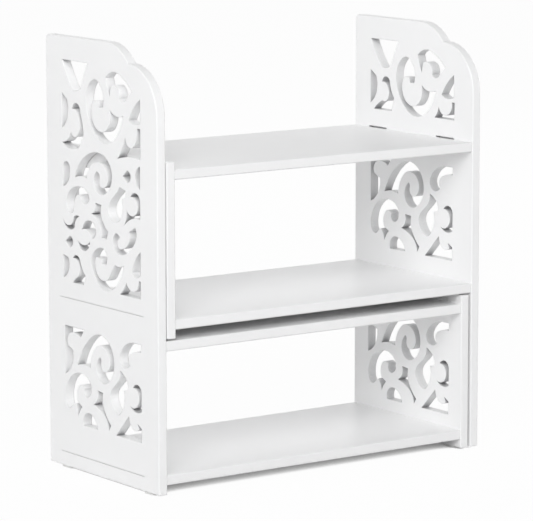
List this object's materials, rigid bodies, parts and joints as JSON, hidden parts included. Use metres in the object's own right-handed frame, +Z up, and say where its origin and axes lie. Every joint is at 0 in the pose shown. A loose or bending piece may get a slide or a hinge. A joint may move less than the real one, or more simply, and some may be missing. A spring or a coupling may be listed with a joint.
{
  "type": "desktop shelf",
  "caption": "Extending desktop shelf of two nested white board units with ogee-topped fretwork sides; one unit slides out of the other to widen it.",
  "frame": {"origin": "on the surface it stands on, under the middle of the closed shelf's box", "axes": "+Z up, +X to the right seen from the front, the way the sliding unit pulls out, +Y to the back"},
  "size_m": [0.4, 0.2, 0.44],
  "materials": {
    "white_board": "satin white lacquer",
    "tongue_wood": "raw beech",
    "pale_glide": "matte"
  },
  "bodies": {
    "fixed_unit": {"left_tall_panel": "white_board", "right_inner_panel": "white_board", "bottom_shelf": "white_board", "lower_deck": "white_board", "tongue_bottom_shelf_left_front": "tongue_wood", "tongue_bottom_shelf_left_back": "tongue_wood", "tongue_bottom_shelf_right_front": "tongue_wood", "tongue_bottom_shelf_right_back": "tongue_wood", "tongue_lower_deck_left_front": "tongue_wood", "tongue_lower_deck_left_back": "tongue_wood", "tongue_lower_deck_right_front": "tongue_wood", "tongue_lower_deck_right_back": "tongue_wood", "glide_left_tall_panel_front": "pale_glide", "glide_left_tall_panel_back": "pale_glide", "glide_right_inner_panel_front": "pale_glide", "glide_right_inner_panel_back": "pale_glide"},
    "sliding_unit": {"right_tall_panel": "white_board", "left_inner_frame": "white_board", "middle_shelf": "white_board", "upper_shelf": "white_board", "tongue_middle_shelf_left_front": "tongue_wood", "tongue_middle_shelf_left_back": "tongue_wood", "tongue_middle_shelf_right_front": "tongue_wood", "tongue_middle_shelf_right_back": "tongue_wood", "glide_right_tall_panel_front": "pale_glide", "glide_right_tall_panel_back": "pale_glide", "glide_left_inner_frame_front": "pale_glide", "glide_left_inner_frame_back": "pale_glide"}
  },
  "joints": [
    {"name": "widen_slide", "type": "slide", "parent": "fixed_unit", "child": "sliding_unit", "axis": [1, 0, 0], "range_m": [0, 0.35]}
  ]
}
